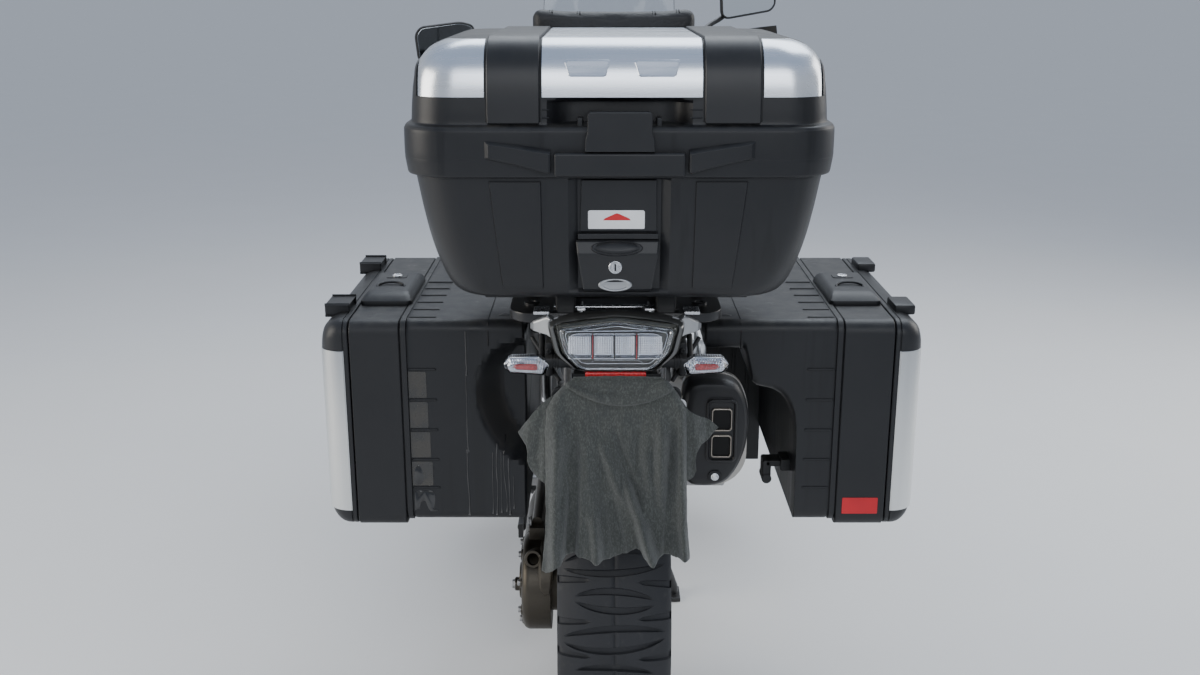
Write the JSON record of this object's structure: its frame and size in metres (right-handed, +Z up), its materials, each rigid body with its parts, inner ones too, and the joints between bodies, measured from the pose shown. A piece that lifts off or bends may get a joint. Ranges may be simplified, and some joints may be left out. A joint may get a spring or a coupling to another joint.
{
  "type": "adventure motorcycle",
  "caption": "Adventure touring motorcycle with shaft drive, top box and two side boxes, parked on its centre stand with the steering turned left.",
  "frame": {"origin": "middle of the whole machine's plan, on the floor", "axes": "+Y forwards along the machine, +X to the rider's right, +Z up"},
  "size_m": [0.9222, 2.2455, 1.41],
  "materials": {
    "frame_paint": "satin dark grey paint",
    "engine_alloy": "cast, bead blasted",
    "black_plastic": "fine grain",
    "radiator_core": "black fins",
    "brushed_alloy": "brushed and clear coated",
    "exhaust_steel": "satin, straw tinted near the engine",
    "exhaust_cap": "heat resistant black",
    "body_paint": "grey metallic",
    "seat_cover": "grained black cover with stitched seams",
    "lamp_clear": "moulded clear lens",
    "screen_clear": "clear polycarbonate",
    "silver_paint": "silver paint",
    "plate_blank": "blank white plate",
    "grey_cloth": "heather jersey",
    "drive_alloy": "warm grey cast alloy",
    "shock_steel": "coil spring and body",
    "case_plastic": "grained black case shells",
    "fork_alloy": "grey anodised",
    "black_paint": "black powder coat",
    "wheel_paint": "dark silver paint",
    "tyre_rubber": "matt rubber",
    "disc_steel": "ground steel"
  },
  "bodies": {
    "chassis": {"main_frame": "frame_paint", "rear_subframe": "frame_paint", "engine_block": "engine_alloy", "cylinders": "engine_alloy", "airbox": "black_plastic", "radiators": "radiator_core", "bash_plate": "brushed_alloy", "exhaust_pipes": "exhaust_steel", "silencer": "exhaust_steel", "silencer_end_cap": "exhaust_cap", "fuel_tank": "body_paint", "rider_seat": "seat_cover", "pillion_seat": "seat_cover", "nose_cowl": "body_paint", "side_panels": "body_paint", "headlamp": "lamp_clear", "windscreen": "screen_clear", "instrument_panel": "black_plastic", "luggage_rack": "silver_paint", "tail_cowl": "silver_paint", "rear_lamps": "lamp_clear", "plate_holder": "black_plastic", "number_plate": "plate_blank", "plate_cloth": "grey_cloth", "swingarm": "drive_alloy", "torque_arm": "drive_alloy", "final_drive": "drive_alloy", "rear_shock": "shock_steel", "footpegs": "engine_alloy", "pannier_body_left": "case_plastic", "pannier_body_right": "case_plastic", "topcase_base": "case_plastic"},
    "steering": {"fork": "fork_alloy", "handlebar": "black_paint", "mirrors": "black_plastic", "hand_guards": "black_plastic", "front_mudguard": "body_paint", "front_calipers": "black_paint"},
    "front_wheel": {"front_rim": "wheel_paint", "front_tyre": "tyre_rubber", "front_discs": "disc_steel"},
    "rear_wheel": {"rear_rim": "wheel_paint", "rear_tyre": "tyre_rubber", "rear_disc": "disc_steel"},
    "topcase_lid_body": {"topcase_lid": "case_plastic", "topcase_panels": "brushed_alloy", "backrest_pad": "seat_cover"},
    "left_lid": {"pannier_lid_left": "case_plastic"},
    "right_lid": {"pannier_lid_right": "case_plastic"},
    "centre_stand_body": {"centre_stand": "black_paint"},
    "side_stand_body": {"side_stand": "black_paint"}
  },
  "joints": [
    {"name": "steer", "type": "hinge", "parent": "chassis", "child": "steering", "pos_m": [0, 0.75773, 0.30071], "axis": [0, -0.4384, 0.8988], "range_deg": [-54, 18]},
    {"name": "front_wheel_spin", "type": "hinge", "parent": "steering", "child": "front_wheel", "pos_m": [-0.01625, 0.80269, 0.32264], "axis": [0.9511, 0.2777, 0.1355], "continuous": true},
    {"name": "rear_wheel_spin", "type": "hinge", "parent": "chassis", "child": "rear_wheel", "pos_m": [0, -0.702, 0.333], "axis": [1, 0, 0], "continuous": true},
    {"name": "topcase_lid_hinge", "type": "hinge", "parent": "chassis", "child": "topcase_lid_body", "pos_m": [0, -0.643, 1.122], "axis": [-1, 0, 0], "range_deg": [0, 75]},
    {"name": "pannier_lid_left_hinge", "type": "hinge", "parent": "chassis", "child": "left_lid", "pos_m": [-0.404, -0.644, 0.508], "axis": [0, -1, 0], "range_deg": [0, 75]},
    {"name": "pannier_lid_right_hinge", "type": "hinge", "parent": "chassis", "child": "right_lid", "pos_m": [0.426, -0.644, 0.508], "axis": [0, 1, 0], "range_deg": [0, 75]},
    {"name": "centre_stand_hinge", "type": "hinge", "parent": "chassis", "child": "centre_stand_body", "pos_m": [0, -0.142, 0.235], "axis": [-1, 0, 0], "range_deg": [0, 78]},
    {"name": "side_stand_hinge", "type": "hinge", "parent": "chassis", "child": "side_stand_body", "pos_m": [-0.184, -0.102, 0.256], "axis": [0.936, 0, -0.352], "range_deg": [0, 95]}
  ]
}
